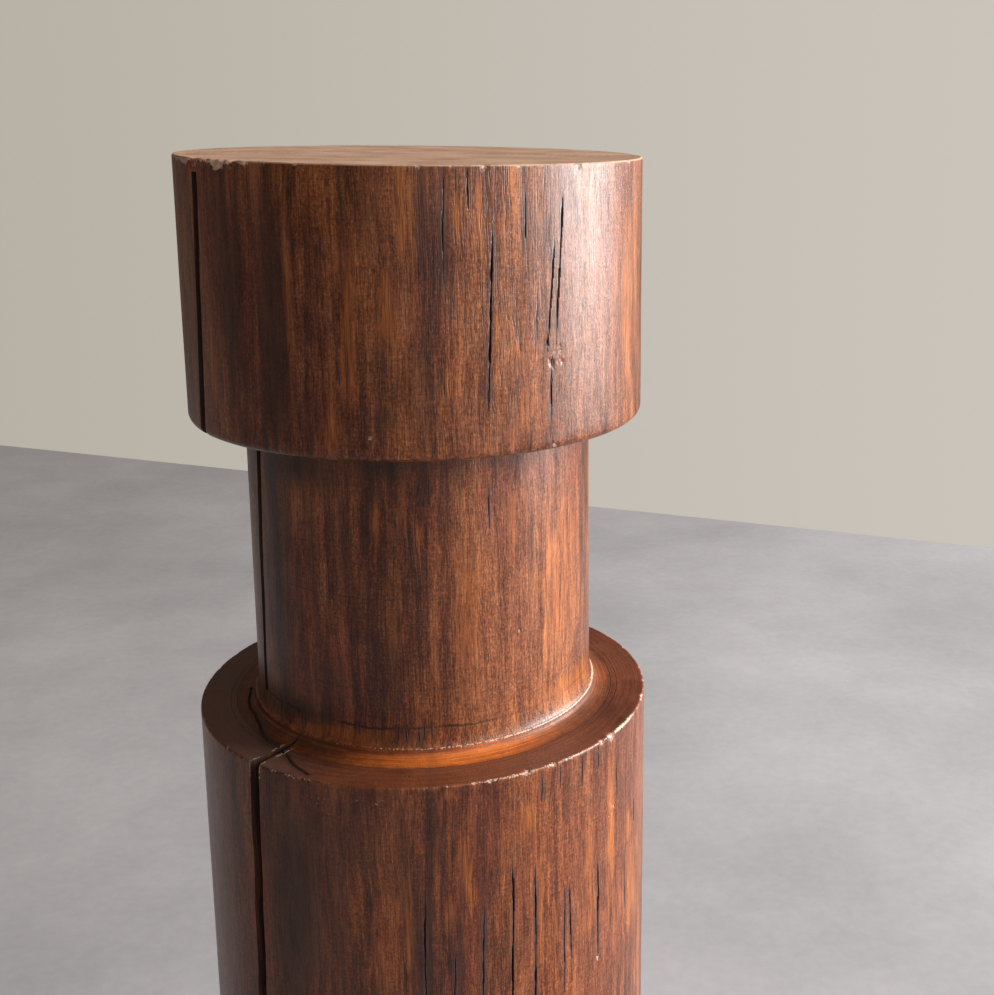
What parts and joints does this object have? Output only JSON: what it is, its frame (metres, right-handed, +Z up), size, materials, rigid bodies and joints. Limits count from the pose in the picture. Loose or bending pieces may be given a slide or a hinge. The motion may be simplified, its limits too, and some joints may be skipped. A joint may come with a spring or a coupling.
{
  "type": "wooden plinth",
  "caption": "Round turned hardwood plinth with a heavy cap, a recessed neck and a tall drum, opened down one side by a drying split.",
  "frame": {"origin": "on the turning axis at the underside, the middle of the foot of its bounding box", "axes": "+Z up along the turning axis, -Y towards the side shown in the picture, +X to its right"},
  "size_m": [0.3072, 0.3072, 1],
  "materials": {
    "wood": "dark reddish brown hardwood with a worn semi-gloss wax"
  },
  "bodies": {
    "root": {"plinth": "wood"}
  },
  "joints": []
}
